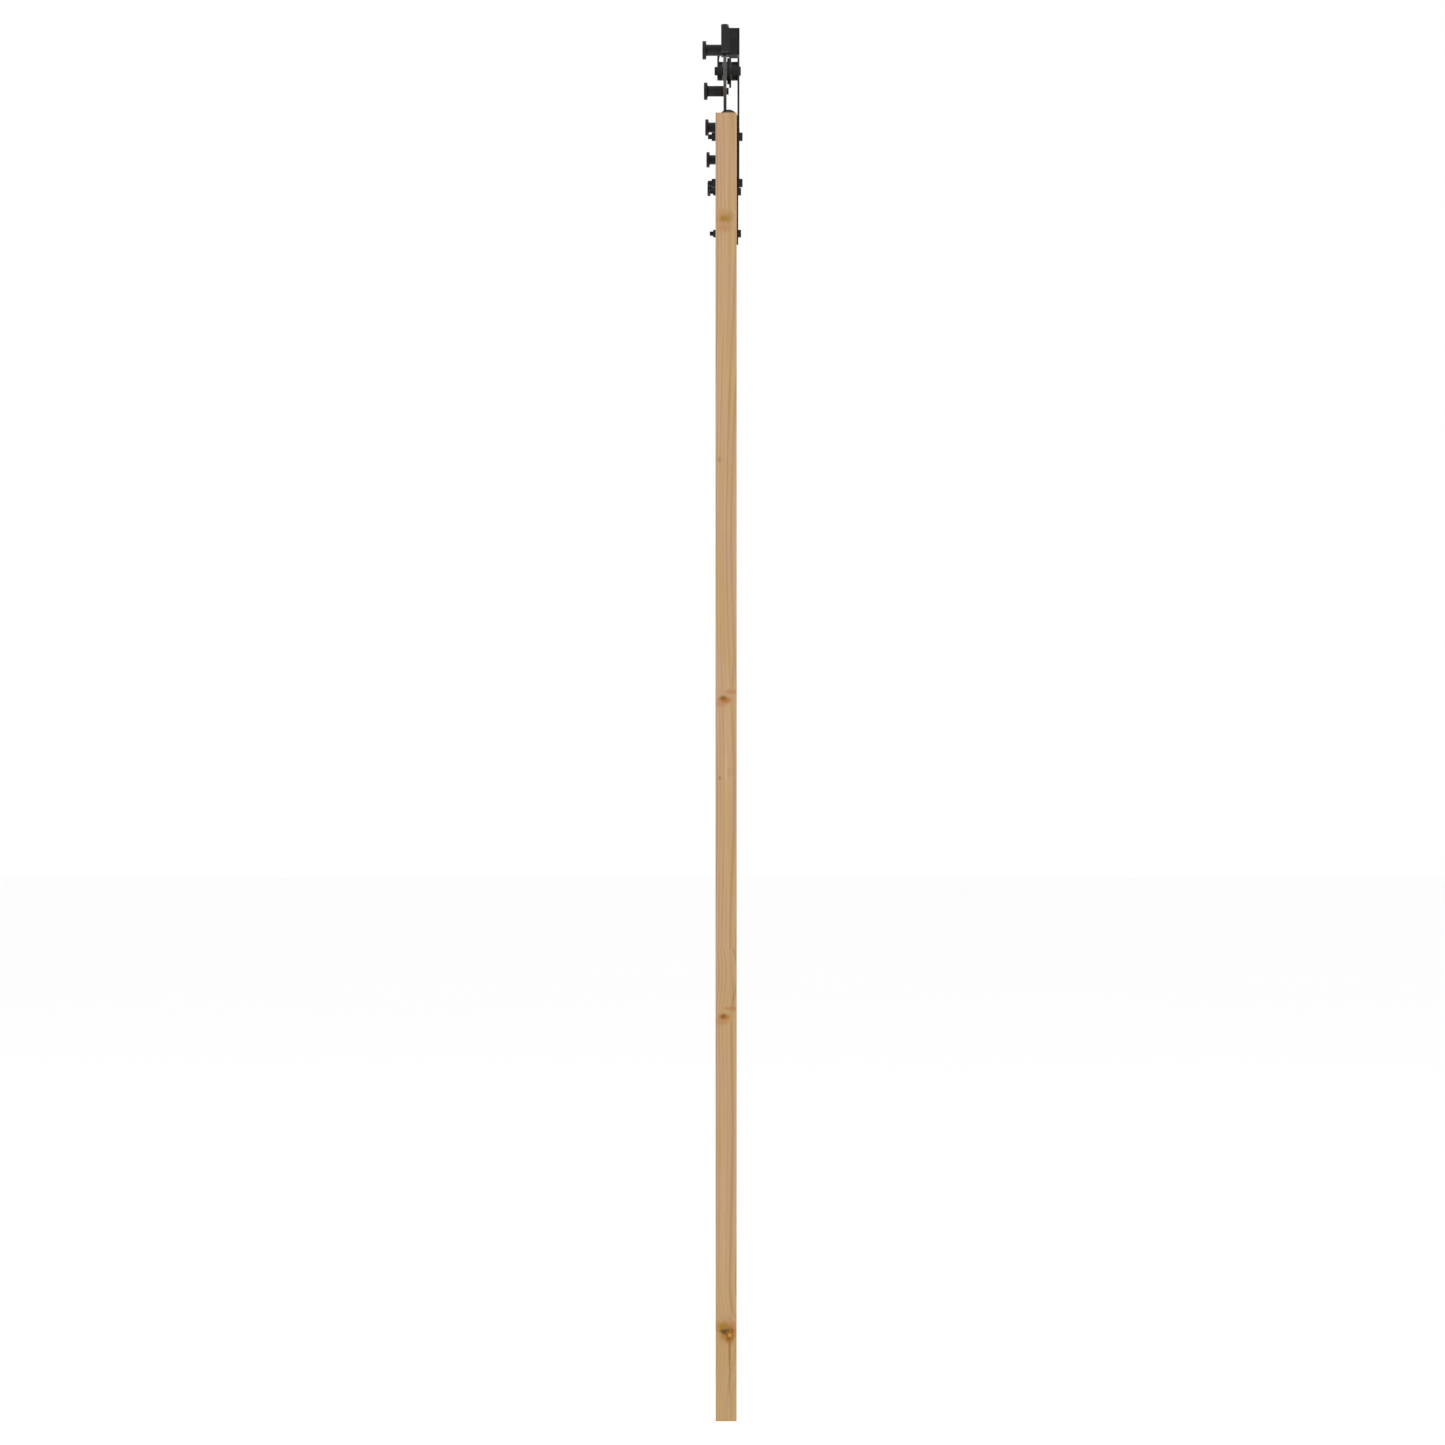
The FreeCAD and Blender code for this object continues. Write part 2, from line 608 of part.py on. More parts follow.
def room_spacer(x):
    """From the bearing's inner ring, out through the roller's hub, to the strap's long leg."""
    shoulder = ROLLER_FRONT + SIDE_GAP
    profile = [
        (M8_RADIUS, BEARING_FRONT),
        (BOSS_RADIUS, BEARING_FRONT),
        (BOSS_RADIUS, shoulder),
        (SPACER_RADIUS, shoulder),
        (SPACER_RADIUS, STRAP_INNER),
        (M8_RADIUS, STRAP_INNER),
    ]
    return turned(profile, x, AXLE_Z)


# ---- rollers ----


def roller(x):
    """A tread that runs on the rail, a flange on its room side and a hub for the guard disc."""
    round_over = 0.6
    profile = [
        (BEARING_OUTER, ROLLER_BACK),
        (TREAD_RADIUS - round_over, ROLLER_BACK),
        (TREAD_RADIUS, ROLLER_BACK + round_over),
        (TREAD_RADIUS, ROLLER_FLANGE_BACK),
        (ROLLER_FLANGE_RADIUS - round_over, ROLLER_FLANGE_BACK),
        (ROLLER_FLANGE_RADIUS, ROLLER_FLANGE_BACK + round_over),
        (ROLLER_FLANGE_RADIUS, ROLLER_FLANGE_FRONT),
        (HUB_RADIUS, ROLLER_FLANGE_FRONT),
        (HUB_RADIUS, ROLLER_FRONT),
        (HUB_BORE, ROLLER_FRONT),
        (HUB_BORE, BEARING_FRONT),
        (BEARING_OUTER, BEARING_FRONT),
    ]
    return turned(profile, x, AXLE_Z)


def guard_disc(x):
    """A large disc on the hub that keeps the roller from climbing off the rail."""
    round_over = 0.5
    back, front = ROLLER_FLANGE_FRONT, ROLLER_FRONT
    profile = [
        (HUB_RADIUS, back),
        (GUARD_RADIUS - round_over, back),
        (GUARD_RADIUS, back + round_over),
        (GUARD_RADIUS, front - round_over),
        (GUARD_RADIUS - round_over, front),
        (HUB_RADIUS, front),
    ]
    return turned(profile, x, AXLE_Z)


def race(inner, outer, x):
    """One ring of the ball bearing, with the balls' track cut in it."""
    blank = ring(outer, inner, ROLLER_BACK, BEARING_FRONT, x, AXLE_Z)
    middle = (ROLLER_BACK + BEARING_FRONT) / 2
    track = Part.makeTorus(BALL_CIRCLE, RACE_GROOVE, V(x, -middle, AXLE_Z), Y_AXIS)
    return blank.cut(track)


def balls(x):
    middle = (ROLLER_BACK + BEARING_FRONT) / 2
    places = []
    for i in range(BALL_COUNT):
        turn = 2 * math.pi * i / BALL_COUNT
        across, up = BALL_CIRCLE * math.sin(turn), BALL_CIRCLE * math.cos(turn)
        places.append(V(x + across, -middle, AXLE_Z + up))
    return [Part.makeSphere(BALL_RADIUS, place) for place in places]


def main():
    os.makedirs("parts", exist_ok=True)
    track_rail()
    for number, x in enumerate(FIXINGS, 1):
        standoff(number, x)
    save("rail_bolts", *[rail_bolt(x) for x in FIXINGS])
    for name, side in SIDES.items():
        save(f"end_stop_clamp_{name}", stop_clamp(side))
        save(f"end_stop_bumper_{name}", stop_bumper(side))
        save(f"end_stop_cover_{name}", stop_cover(side))
    save("end_stop_set_screws", *[stop_set_screw(side) for side in SIDES.values()])
    save("bumper_screws", *[bumper_screw_with_socket(side) for side in SIDES.values()])
    door_leaf()
    for name, x in disc_places().items():
        save(f"anti_jump_disc_{name}", anti_jump_disc(x))
    save("anti_jump_screws", *[anti_jump_screw(x) for x in disc_places().values()])
    through = [(x, z) for x in HANGERS.values() for z in STRAP_BOLTS]
    save("strap_bolts", *[strap_bolt(x, z) for x, z in through])
    save("strap_nuts", *[nut(STRAP_NUT_HEIGHT, DOOR_BACK, x, z) for x, z in through])
    save(
        "strap_washers",
        *[ring(STRAP_WASHER_RADIUS, M8_RADIUS, DOOR_FRONT, STRAP_INNER, x, z) for x, z in through],
    )
    save("axle_bolts", *[axle_bolt(x) for x in HANGERS.values()])
    save("axle_nuts", *[nut(AXLE_NUT_HEIGHT, WALL_LEG_BACK, x, AXLE_Z) for x in HANGERS.values()])
    for name, x in HANGERS.items():
        save(f"hanger_strap_{name}", strap(x))
        save(f"wall_spacer_{name}", wall_spacer(x))
        save(f"room_spacer_{name}", room_spacer(x))
        save(f"roller_{name}", roller(x))
        save(f"guard_disc_{name}", guard_disc(x))
        save(f"bearing_inner_{name}", race(M8_RADIUS, INNER_RACE_TOP, x))
        save(f"bearing_outer_{name}", race(OUTER_RACE_FOOT, BEARING_OUTER, x))
        save(f"bearing_balls_{name}", *balls(x))


main()
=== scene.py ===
"""The looks of a sliding barn door and its wall rail, built round the CAD frame.

X runs along the rail, Z is up, the wall is Y = 0 and the room is on the -Y side. Lengths are metres.
"""

import json
import math
from collections import namedtuple

import bpy
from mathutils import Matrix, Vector


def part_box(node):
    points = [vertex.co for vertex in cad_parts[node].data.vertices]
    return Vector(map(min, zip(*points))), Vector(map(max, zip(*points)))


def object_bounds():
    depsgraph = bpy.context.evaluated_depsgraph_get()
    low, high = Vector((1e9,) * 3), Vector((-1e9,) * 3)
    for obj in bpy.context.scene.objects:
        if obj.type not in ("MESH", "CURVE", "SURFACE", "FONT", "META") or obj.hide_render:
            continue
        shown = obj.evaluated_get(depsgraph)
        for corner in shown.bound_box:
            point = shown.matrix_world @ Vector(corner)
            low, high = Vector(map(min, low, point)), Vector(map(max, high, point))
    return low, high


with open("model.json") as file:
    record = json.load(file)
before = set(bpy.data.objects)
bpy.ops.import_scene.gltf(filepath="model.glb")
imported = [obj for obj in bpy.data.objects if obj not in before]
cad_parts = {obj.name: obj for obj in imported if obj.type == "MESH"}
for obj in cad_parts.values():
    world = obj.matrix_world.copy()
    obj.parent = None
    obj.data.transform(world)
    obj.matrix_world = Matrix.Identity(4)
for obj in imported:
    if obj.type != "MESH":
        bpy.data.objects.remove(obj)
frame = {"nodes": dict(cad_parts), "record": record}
cad_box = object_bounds()
NODES = frame["nodes"]

# Camera: looks along the rail from its near end, a little above the middle of the door.
CAMERA_DISTANCE = 6.757
CAMERA_BELOW_TOP = 0.9786
CAMERA_ROOMWARD = 0.0014
CAMERA_LENS = 104.93
CAMERA_SENSOR = 36.0
CAMERA_SHIFT = -0.0031
CAMERA_CLIP = 200.0

# Studio
FLOOR_GAP = 0.25
FLOOR_SIZE = 60.0
FLOOR_COLOUR = (0.985, 0.985, 0.985, 1)
WORLD_COLOUR = (1.0, 1.0, 1.0, 1)
WORLD_STRENGTH = 1.0
LIGHT_TARGET = (0, 0, -0.9)
# name, place, width, power in watts
LIGHTS = (
    ("key", (-3.6, -3.4, 2.2), 2.6, 95.0),
    ("fill", (2.8, -3.8, 0.6), 3.0, 45.0),
    ("back", (-0.5, 3.8, 1.8), 2.6, 40.0),
)

# Pine: the pale early wood, the darker late wood between rings, broad tints, and the colours of its knots
EARLY_WOOD = (0.440, 0.284, 0.151, 1)
LATE_WOOD = (0.330, 0.190, 0.089, 1)
PALE_WOOD = (0.485, 0.333, 0.192, 1)
YELLOW_TINT = (0.980, 0.980, 0.850, 1)
PINK_TINT = (1.01, 0.975, 1.05, 1)
KNOT_RIM = (0.270, 0.112, 0.030, 1)
KNOT_HEART = (0.090, 0.037, 0.011, 1)
PINE_GLOSS = 0.22
PINE_RELIEF = 0.00018

# Rings: how far apart they are, and where the pith lies: beside a piece's middle, and on the room side of
# GRAIN_DEPTH, which is a depth out from the wall near the middle of the leaf's thickness
RING_SPACING = 0.0042
STILE_RING_SPACING = 0.0024
STILE_WANDER = 0.15
GRAIN_DEPTH = 0.0356
PITH_DRIFT = 0.22
PITH_ASIDE = 0.035
PITH_DEPTH = 0.030
PITH_DEPTH_CHANGE = 0.016
RING_WAVER = 0.030
RING_PUSH = 0.018

# Noise of the wood: scales per metre, and how slowly fibres and streaks change along the grain
GRAIN_STRETCH = 0.018
FIBRE_SCALE = 900.0
STREAK_SCALE = 130.0
CLOUD_SCALE = 11.0

# Knots on the faces: places for one per metre each way, and the share of those places that has one
KNOTS_ACROSS = 5.2
KNOTS_ALONG = 2.5
STILE_KNOTS = 0.20
RAIL_KNOTS = 0.22
BOARD_KNOTS = 0.26

# Stiles: a darker stretch of grain near the room side, and a yellower foot
DARK_GRAIN_DEPTH = 0.0432
DARK_GRAIN_WIDTH = 0.0042
DARK_GRAIN_SWAY = 0.006
HONEY = (0.395, 0.255, 0.098, 1)
HONEY_TOP = 0.150
HONEY_FADE = 0.03
HONEY_STRENGTH = 0.5

# What marks the near stile's outer edge
OLIVE = (0.285, 0.150, 0.020, 1)
ORANGE = (0.345, 0.140, 0.020, 1)
AMBER = (0.500, 0.235, 0.045, 1)
BROWN = (0.145, 0.056, 0.004, 1)
PITCH = (0.062, 0.030, 0.000, 1)
BLUSH = (0.370, 0.168, 0.066, 1)
RUST = (0.290, 0.108, 0.010, 1)
# depth is measured out from the wall, and height up from the leaf's foot
Mark = namedtuple("Mark", "depth height half_width half_height colour strength")
EDGE_MARKS = (
    Mark(0.0345, 1.9348, 0.0130, 0.0110, ORANGE, 0.30),
    Mark(0.0338, 1.9300, 0.0090, 0.0052, OLIVE, 0.85),
    Mark(0.0335, 1.9148, 0.0120, 0.0090, BLUSH, 0.42),
    Mark(0.0340, 1.9153, 0.0045, 0.0036, ORANGE, 0.25),
    Mark(0.0250, 1.5430, 0.0026, 0.0040, BROWN, 0.34),
    Mark(0.0450, 1.1706, 0.0120, 0.0038, BLUSH, 0.70),
    Mark(0.0290, 1.1527, 0.0110, 0.0060, BLUSH, 0.60),
    Mark(0.0355, 1.1577, 0.0086, 0.0050, ORANGE, 0.85),
    Mark(0.0312, 1.1600, 0.0060, 0.0036, BROWN, 0.60),
    Mark(0.0292, 1.1592, 0.0022, 0.0018, PITCH, 0.20),
    Mark(0.0466, 1.1960, 0.0012, 0.0260, BROWN, 0.34),
    Mark(0.0256, 1.0320, 0.0022, 0.0036, BROWN, 0.40),
    Mark(0.0360, 1.0480, 0.0016, 0.0280, PALE_WOOD, 0.70),
    Mark(0.0420, 1.0420, 0.0050, 0.0070, BLUSH, 0.25),
    Mark(0.0440, 0.6625, 0.0120, 0.0036, BLUSH, 0.70),
    Mark(0.0290, 0.6421, 0.0110, 0.0060, BLUSH, 0.60),
    Mark(0.0345, 0.6491, 0.0082, 0.0048, ORANGE, 0.75),
    Mark(0.0312, 0.6500, 0.0058, 0.0036, BROWN, 0.60),
    Mark(0.0290, 0.6493, 0.0022, 0.0018, PITCH, 0.20),
    Mark(0.0474, 0.6900, 0.0012, 0.0280, BROWN, 0.30),
    Mark(0.0470, 0.1535, 0.0060, 0.0080, BLUSH, 0.70),
    Mark(0.0325, 0.1510, 0.0105, 0.0086, OLIVE, 1.00),
    Mark(0.0330, 0.1400, 0.0066, 0.0090, OLIVE, 0.80),
    Mark(0.0414, 0.1390, 0.0086, 0.0120, RUST, 1.00),
    Mark(0.0415, 0.0900, 0.0013, 0.0560, BROWN, 0.38),
    Mark(0.0413, 0.1140, 0.0019, 0.0260, RUST, 0.60),
    Mark(0.0322, 0.1440, 0.0050, 0.0042, PITCH, 0.80),
    Mark(0.0394, 0.1455, 0.0024, 0.0032, PITCH, 0.60),
    Mark(0.0400, 0.1330, 0.0024, 0.0030, BROWN, 0.60),
    Mark(0.0378, 0.1392, 0.0018, 0.0036, BROWN, 0.80),
    Mark(0.0452, 0.1465, 0.0018, 0.0046, BROWN, 0.70),
    Mark(0.0416, 0.1386, 0.0030, 0.0030, AMBER, 0.80),
)
# the marks that are knots, which bend the grain round them, are these colours and wider than this
KNOT_HALF_WIDTH = 0.0045
KNOT_COLOURS = (OLIVE, BROWN)
MARK_OUTLINE_SCALE = 230.0
# marks show fully down to the first of these depths below the edge's surface, and not at all at the second
MARK_FULL_DEPTH = 0.008
MARK_LAST_DEPTH = 0.024

# Steel, rubber and nylon
COAT_COLOUR = (0.0094, 0.0098, 0.0103, 1)
# the paler grey painted along the steel's sharp edges: partly rubbed wear, partly a painted highlight
EDGE_WEAR_AND_HIGHLIGHT = (0.045, 0.046, 0.048, 1)
TURNED_COLOUR = (0.0076, 0.0080, 0.0084, 1)
TURNED_GLOSS = 0.22
FASTENER_COLOUR = (0.0080, 0.0082, 0.0088, 1)
COVER_COLOUR = (0.0040, 0.0041, 0.0044, 1)
RUBBER_COLOUR = (0.0110, 0.0110, 0.0113, 1)
RUBBER_GLOSS = 0.18
NYLON_COLOUR = (0.0180, 0.0180, 0.0185, 1)
BEARING_COLOUR = (0.52, 0.53, 0.55, 1)

# Screw thread on the strap bolts. THREAD_BUMP is twice its height, because its wave only rises to a half.
THREAD_PITCH = 0.00125
THREAD_BUMP = 0.0012
THREAD_ROOT = 0.0034
STRAP_BOLT_SPACING = 0.075

BOARDS_PER_PANEL = 5


class Graph:
    """Short ways to add shader nodes to a tree. Inputs may be sockets or plain values."""

    def __init__(self, tree):
        self.tree = tree

    def node(self, kind, **settings):
        made = self.tree.nodes.new(kind)
        for key, value in settings.items():
            setattr(made, key, value)
        return made

    def put(self, socket, value):
        if isinstance(value, bpy.types.NodeSocket):
            self.tree.links.new(value, socket)
        elif value is not None:
            socket.default_value = value

    def math(self, operation, a, b=None, c=None):
        made = self.node("ShaderNodeMath", operation=operation)
        for socket, value in zip(made.inputs, (a, b, c)):
            self.put(socket, value)
        return made.outputs[0]

    def length(self, a, b):
        """The hypotenuse over a and b."""
        squares = self.math("ADD", self.math("POWER", a, 2.0), self.math("POWER", b, 2.0))
        return self.math("SQRT", squares)

    def centred(self, value):
        """A noise of 0 to 1 moved to lie about 0."""
        return self.math("SUBTRACT", value, 0.5)

    def remap(self, value, low, high, to_low=0.0, to_high=1.0):
        """Eases from to_low at low to to_high at high, and stays there beyond."""
        made = self.node("ShaderNodeMapRange", interpolation_type="SMOOTHSTEP")
        for socket, item in zip(made.inputs, (value, low, high, to_low, to_high)):
            self.put(socket, item)
        return made.outputs[0]

    def mix(self, factor, a, b, blend="MIX"):
        made = self.node("ShaderNodeMix", data_type="RGBA", blend_type=blend)
        self.put(made.inputs[0], factor)
        self.put(made.inputs[6], a)
        self.put(made.inputs[7], b)
        return made.outputs[2]

    def noise(self, vector, scale, detail=3.0, roughness=0.5, distortion=0.0):
        made = self.node("ShaderNodeTexNoise")
        self.put(made.inputs["Vector"], vector)
        made.inputs["Scale"].default_value = scale
        made.inputs["Detail"].default_value = detail
        made.inputs["Roughness"].default_value = roughness
        made.inputs["Distortion"].default_value = distortion
        return made.outputs["Fac"]

    def place(self, vector, offset, stretch=(1, 1, 1)):
        """vector times stretch, plus offset."""
        made = self.node("ShaderNodeVectorMath", operation="MULTIPLY_ADD")
        self.put(made.inputs[0], vector)
        made.inputs[1].default_value = stretch
        made.inputs[2].default_value = offset
        return made.outputs[0]

    def split(self, vector):
        made = self.node("ShaderNodeSeparateXYZ")
        self.put(made.inputs[0], vector)
        return made.outputs

    def join(self, x, y, z):
        made = self.node("ShaderNodeCombineXYZ")
        for socket, value in zip(made.inputs, (x, y, z)):
            self.put(socket, value)
        return made.outputs[0]

    def bump(self, height, distance, strength, normal=None):
        made = self.node("ShaderNodeBump")
        made.inputs["Strength"].default_value = strength
        made.inputs["Distance"].default_value = distance
        self.put(made.inputs["Height"], height)
        self.put(made.inputs["Normal"], normal)
        return made.outputs[0]


def new_material(name):
    """A node material with a Principled shader: returns it, its graph, its shader and object coordinates."""
    material = bpy.data.materials.new(name)
    material.use_nodes = True
    graph = Graph(material.node_tree)
    shader = material.node_tree.nodes["Principled BSDF"]
    where = graph.node("ShaderNodeTexCoord").outputs["Object"]
    return material, graph, shader, where


def scaled(colour, factor):
    """The same colour, lighter or darker."""
    return tuple(channel * factor for channel in colour[:3]) + (1,)


def middle_of(node, axis):
    low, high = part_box(node)
    return (low[axis] + high[axis]) / 2


# ---- pine ----


def face_knots(graph, across, along, seed, amount):
    """Knots scattered over a board's face: returns how near a knot is, 0 to 1, and the heart inside it."""
    cells = graph.node("ShaderNodeTexVoronoi", voronoi_dimensions="2D", feature="F1")
    spot = graph.join(
        graph.math("MULTIPLY_ADD", across, KNOTS_ACROSS, seed * 1.7),
        graph.math("MULTIPLY_ADD", along, KNOTS_ALONG, seed * 3.1),
        0.0,
    )
    graph.put(cells.inputs["Vector"], spot)
    cells.inputs["Scale"].default_value = 1.0
    cells.inputs["Randomness"].default_value = 1.0
    chance, variety, _ = graph.split(cells.outputs["Color"])
    kept = graph.math("LESS_THAN", chance, amount)
    size = graph.math("MULTIPLY_ADD", variety, 0.5, 0.6)
    distance = graph.math("DIVIDE", cells.outputs["Distance"], size)
    halo = graph.math("MULTIPLY", graph.remap(distance, 0.34, 0.02), kept)
    heart = graph.math("MULTIPLY", graph.remap(distance, 0.070, 0.046), kept)
    return halo, heart


def rings(graph, across, depth, along, seed, halo, stile):
    """How much late wood shows in the growth rings, where the face cuts them. The rings bend round knots,
    and their pith strays along the piece, less in a stile than in a board."""
    spacing, wandering = (STILE_RING_SPACING, STILE_WANDER) if stile else (RING_SPACING, 1.0)
    slow = graph.join(across, depth, graph.math("MULTIPLY", along, 0.55))
    waver = graph.centred(graph.noise(slow, 2.3 + seed * 0.07, 2.0))
    slower = graph.join(seed * 2.3, 0.0, graph.math("MULTIPLY", along, 0.8))
    drift = graph.centred(graph.noise(slower, 1.0, 1.0))
    side = graph.math("MULTIPLY_ADD", drift, PITH_DRIFT * wandering, math.sin(seed * 2.1) * PITH_ASIDE)
    aside = graph.math("SUBTRACT", across, side)
    behind = graph.math("ADD", depth, PITH_DEPTH + PITH_DEPTH_CHANGE * math.cos(seed * 1.3))
    reach = graph.length(aside, behind)
    reach = graph.math("MULTIPLY_ADD", waver, RING_WAVER * wandering, reach)
    reach = graph.math("MULTIPLY_ADD", halo, RING_PUSH, reach)
    turn = graph.math("DIVIDE", reach, spacing)
    part = graph.math("FRACT", turn)
    late = graph.math("MULTIPLY", graph.remap(part, 0.35, 0.90), graph.remap(part, 1.0, 0.93))
    year = graph.noise(graph.join(graph.math("FLOOR", turn), seed, 0.0), 1.7, 0.0)
    return graph.math("MULTIPLY", late, graph.remap(year, 0.25, 0.75, 0.35, 1.0))


def mark_spread(graph, x, y, z, mark):
    """Where a point lies in one mark: 0 at its middle and about 1 at its rim, with an uneven outline. Also
    how strongly the mark shows there, which fades a little way into the wood."""
    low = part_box("stile_near")[0]
    outline = graph.noise(graph.join(x, y, z), MARK_OUTLINE_SCALE, 3.0, 0.6)
    beside = graph.math("DIVIDE", graph.math("ADD", y, mark.depth), mark.half_width)
    above = graph.math("DIVIDE", graph.math("SUBTRACT", z, low.z + mark.height), mark.half_height)
    spread = graph.math("MULTIPLY_ADD", graph.centred(outline), 1.3, graph.length(beside, above))
    into = graph.remap(x, low.x + MARK_LAST_DEPTH, low.x + MARK_FULL_DEPTH)
    return spread, into


def dark_band(graph, y, z):
    """How strongly a broad darker stretch of grain shows: it runs up a stile near its room side."""
    sway = graph.centred(graph.noise(graph.join(0.0, 0.0, z), 1.6, 2.0))
    centre = graph.math("MULTIPLY_ADD", sway, DARK_GRAIN_SWAY, -DARK_GRAIN_DEPTH)
    away = graph.math("ABSOLUTE", graph.math("SUBTRACT", y, centre))
    strength = graph.remap(graph.noise(graph.join(3.0, 0.0, z), 2.4, 2.0), 0.35, 0.65, 0.12, 0.34)
    return graph.math("MULTIPLY", graph.remap(away, DARK_GRAIN_WIDTH, 0.0), strength)


def knot_colour(graph, where):
    """A knot's own dark wood, with its small rings."""
    swirl = graph.noise(where, 240.0, 3.0, 0.6, 1.2)
    return graph.mix(graph.remap(swirl, 0.38, 0.62), KNOT_HEART, KNOT_RIM)


def grain_noise(graph, across, depth, along, offset, scale, detail, roughness):
    """A noise drawn out along the grain."""
    drawn_out = graph.join(across, depth, graph.math("MULTIPLY", along, GRAIN_STRETCH))
    return graph.noise(graph.place(drawn_out, offset), scale, detail, roughness)


def clear_wood(graph, across, depth, along, seed, late, fibre, stile):
    """The wood's colour away from knots: rings, pale streaks, fibres, and broad yellow and pink patches."""
    streak = grain_noise(graph, across, depth, along, (seed * 3, 0, seed), STREAK_SCALE, 3.0, 0.55)
    patches = graph.join(graph.math("MULTIPLY", across, 2.0), graph.math("MULTIPLY", depth, 5.0), along)
    cloud = graph.noise(graph.place(patches, (seed, 0, seed), (1.0, 1.0, 0.6)), CLOUD_SCALE, 3.0)
    tint = graph.mix(graph.remap(cloud, 0.36, 0.64), YELLOW_TINT, PINK_TINT)
    colour = graph.mix(graph.math("MULTIPLY", late, 0.76 if stile else 0.62), EARLY_WOOD, LATE_WOOD)
    colour = graph.mix(graph.remap(streak, 0.42, 0.72, 0.0, 0.55), colour, PALE_WOOD)
    colour = graph.mix(graph.remap(fibre, 0.35, 0.75, 0.0, 0.30), colour, LATE_WOOD)
    return graph.mix(1.0, colour, tint, "MULTIPLY")


def stile_wood(graph, name, y, z, colour):
    """Adds what a stile has besides clear wood: its darker stretch of grain, and its yellower foot."""
    colour = graph.mix(dark_band(graph, y, z), colour, LATE_WOOD)
    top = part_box(name)[0].z + HONEY_TOP
    return graph.mix(graph.remap(z, top, top - HONEY_FADE, 0.0, HONEY_STRENGTH), colour, HONEY)


def pine(name, grain, seed, middle, knots, stile=False, marks=()):
    """Oiled pine. grain is the axis it runs along, and middle is the piece's middle across the grain."""
    material, graph, shader, where = new_material(name)
    x, y, z = graph.split(where)
    along, across = (x, z) if grain == "X" else (z, x)
    across = graph.math("SUBTRACT", across, middle)
    depth = graph.math("ADD", y, GRAIN_DEPTH)
    halo, heart = face_knots(graph, across, along, seed, knots)
    spreads = [mark_spread(graph, x, y, z, mark) for mark in marks]
    for (spread, into), mark in zip(spreads, marks):
        if mark.half_width > KNOT_HALF_WIDTH and mark.colour in KNOT_COLOURS:
            bend = graph.math("MULTIPLY", graph.remap(spread, 3.2, 0.4), into)
            halo = graph.math("MAXIMUM", halo, bend)
    late = rings(graph, across, depth, along, seed, halo, stile)
    fibre = grain_noise(graph, across, depth, along, (seed, seed * 2, 0), FIBRE_SCALE, 4.0, 0.62)
    colour = clear_wood(graph, across, depth, along, seed, late, fibre, stile)
    if stile:
        colour = stile_wood(graph, name, y, z, colour)
    rim = graph.math("MULTIPLY", graph.math("POWER", halo, 1.6), 0.26 if marks else 0.42)
    colour = graph.mix(rim, colour, KNOT_RIM)
    colour = graph.mix(graph.math("MULTIPLY", heart, 0.88), colour, knot_colour(graph, where))
    for (spread, into), mark in zip(spreads, marks):
        shade = graph.math("MULTIPLY", graph.remap(spread, 1.45, 0.45), into)
        colour = graph.mix(graph.math("MULTIPLY", shade, mark.strength), colour, mark.colour)
    graph.put(shader.inputs["Base Color"], colour)
    rough = graph.math("MULTIPLY_ADD", late, -0.08, 0.56)
    rough = graph.math("MULTIPLY_ADD", graph.centred(fibre), 0.16, rough)
    graph.put(shader.inputs["Roughness"], rough)
    shader.inputs["Specular IOR Level"].default_value = PINE_GLOSS
    relief = graph.math("MULTIPLY_ADD", fibre, 0.6, graph.math("MULTIPLY", late, 0.4))
    graph.put(shader.inputs["Normal"], graph.bump(relief, PINE_RELIEF, 0.55))
    return material


# ---- steel, rubber and nylon ----


def edges_mask(graph, radius):
    """Returns a mask, near 1 on sharp edges and 0 on flats, and the normal with those edges rounded."""
    soft = graph.node("ShaderNodeBevel", samples=6)
    soft.inputs["Radius"].default_value = radius
    normal = graph.node("ShaderNodeNewGeometry").outputs["Normal"]
    dot = graph.node("ShaderNodeVectorMath", operation="DOT_PRODUCT")
    graph.put(dot.inputs[0], soft.outputs[0])
    graph.put(dot.inputs[1], normal)
    return graph.remap(dot.outputs["Value"], 0.985, 0.80), soft.outputs[0]


def off_bolt_axis(graph, value, centre, spacing):
    """How far a coordinate is from the nearer of two bolt axes, spaced evenly about centre."""
    folded = graph.math("ABSOLUTE", graph.math("SUBTRACT", value, centre))
    return graph.math("SUBTRACT", folded, spacing / 2)


def threads(graph, where):
    """Height of the screw thread on the strap bolts' ends, which stand out of their nuts."""
    x, y, z = graph.split(where)
    apart = middle_of("roller_far", 0) - middle_of("roller_near", 0)
    off_x = off_bolt_axis(graph, x, middle_of("strap_bolts", 0), apart)
    off_z = off_bolt_axis(graph, z, middle_of("strap_bolts", 2), STRAP_BOLT_SPACING)
    turn = graph.math("DIVIDE", graph.math("ARCTAN2", off_z, off_x), 2 * math.pi)
    wave = graph.math("PINGPONG", graph.math("MULTIPLY_ADD", y, 1 / THREAD_PITCH, turn), 0.5)
    outside_nut = graph.math("GREATER_THAN", y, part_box("strap_nuts")[1].y)
    on_shank = graph.math("GREATER_THAN", graph.length(off_x, off_z), THREAD_ROOT)
    return graph.math("MULTIPLY", wave, graph.math("MULTIPLY", outside_nut, on_shank))


